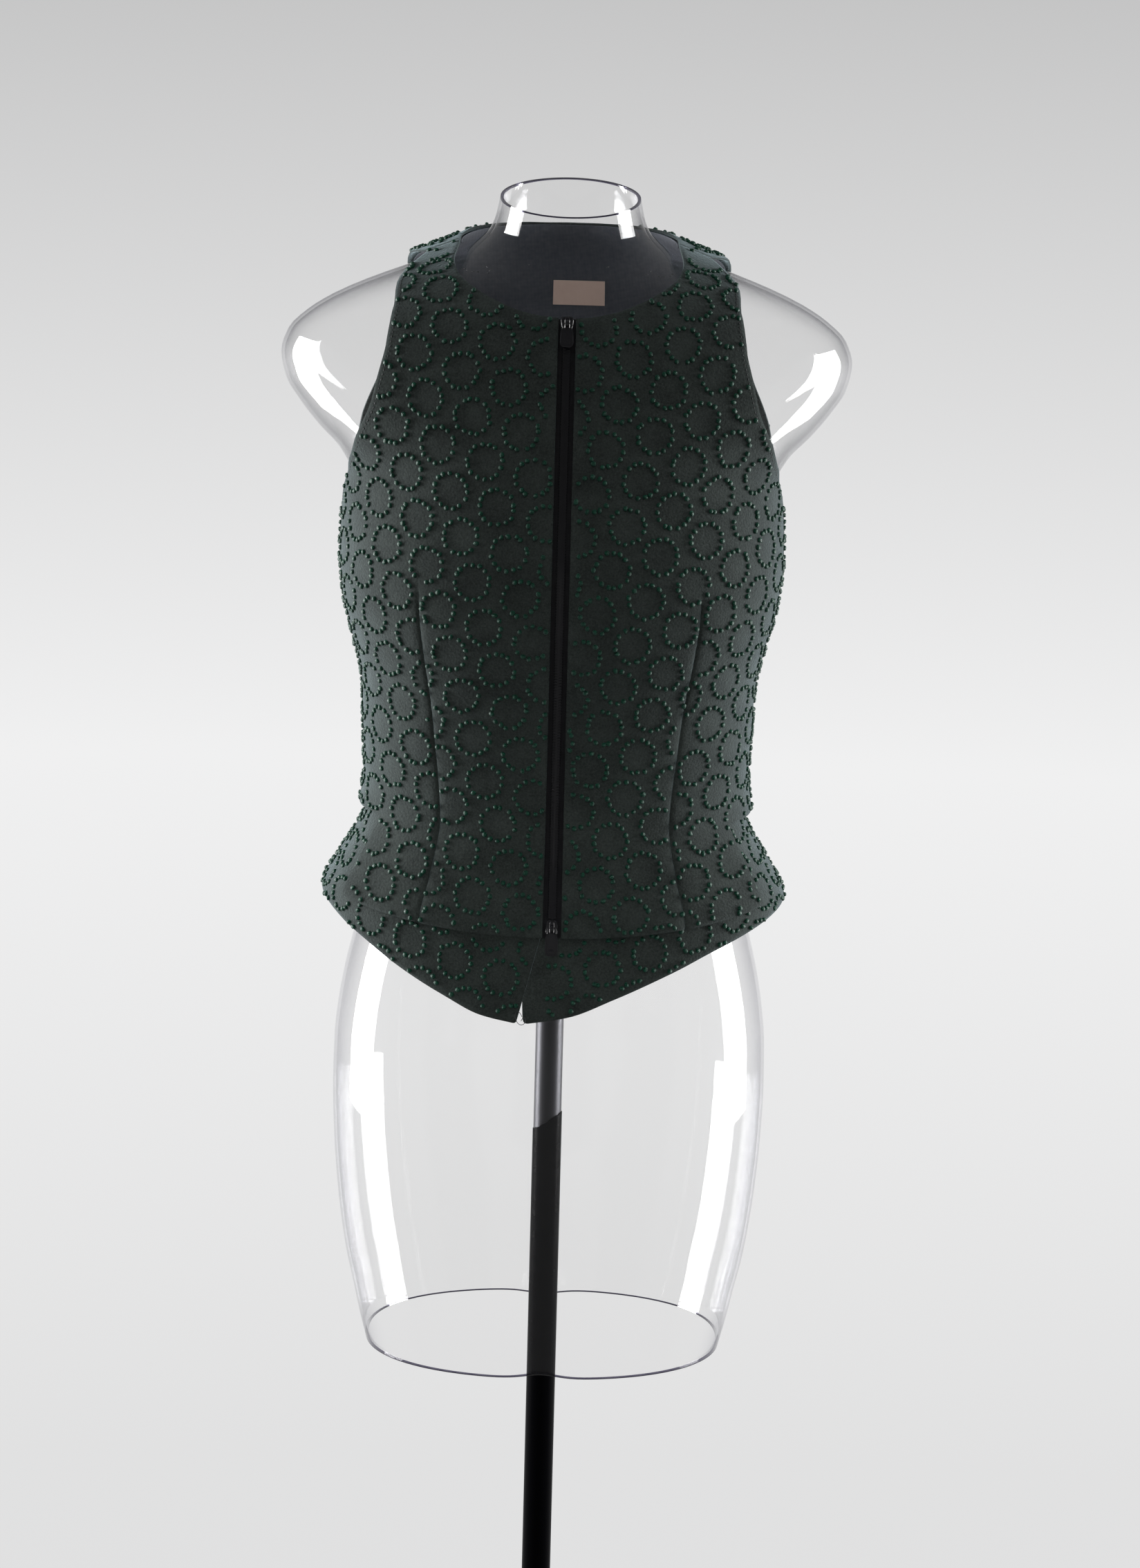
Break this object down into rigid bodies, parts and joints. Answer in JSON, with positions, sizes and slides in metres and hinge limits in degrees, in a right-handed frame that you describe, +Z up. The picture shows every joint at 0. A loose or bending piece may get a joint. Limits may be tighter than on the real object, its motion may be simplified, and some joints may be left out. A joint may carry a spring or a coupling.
{
  "type": "sleeveless waistcoat on a clear dress form",
  "caption": "Fitted sleeveless zip-front waistcoat of felted wool with flared skirts, worn by a clear limbless dress form on a pole stand with a round foot.",
  "frame": {"origin": "on the floor, under the centre of the round foot", "axes": "+Z up, +X towards the wearer's left, -Y out of the front"},
  "size_m": [0.4012, 0.34, 1.509],
  "materials": {
    "wool": "felted wool, matt, with a short nap",
    "zip_tape": "woven tape, black",
    "zip_metal": "black, glossy",
    "facing": "dark woven cloth",
    "label": "woven tape, blank",
    "clear_plastic": "clear, polished",
    "satin_metal": "satin tube with a black wrap",
    "black_metal": "black, satin"
  },
  "bodies": {
    "root": {"front_left": "wool", "front_right": "wool", "back_left": "wool", "back_right": "wool", "under_skirt_left": "wool", "under_skirt_right": "wool", "zip_tape_left": "zip_tape", "zip_tape_right": "zip_tape", "zip_chain": "zip_metal", "zip_slider_top": "zip_metal", "zip_slider_bottom": "zip_metal", "neck_facing": "facing", "neck_label": "label", "form_shell": "clear_plastic", "form_plate": "black_metal", "stand_pole": "satin_metal", "stand_base": "black_metal"},
    "pull_top": {"zip_pull_top": "zip_metal"},
    "pull_bottom": {"zip_pull_bottom": "zip_metal"}
  },
  "joints": [
    {"name": "pull_top_turn", "type": "hinge", "parent": "root", "child": "pull_top", "pos_m": [0, -0.09166, 1.42282], "axis": [-1, 0, 0], "range_deg": [0, 160]},
    {"name": "pull_bottom_turn", "type": "hinge", "parent": "root", "child": "pull_bottom", "pos_m": [0, -0.10967, 1.00205], "axis": [-1, 0, 0], "range_deg": [0, 160]}
  ]
}
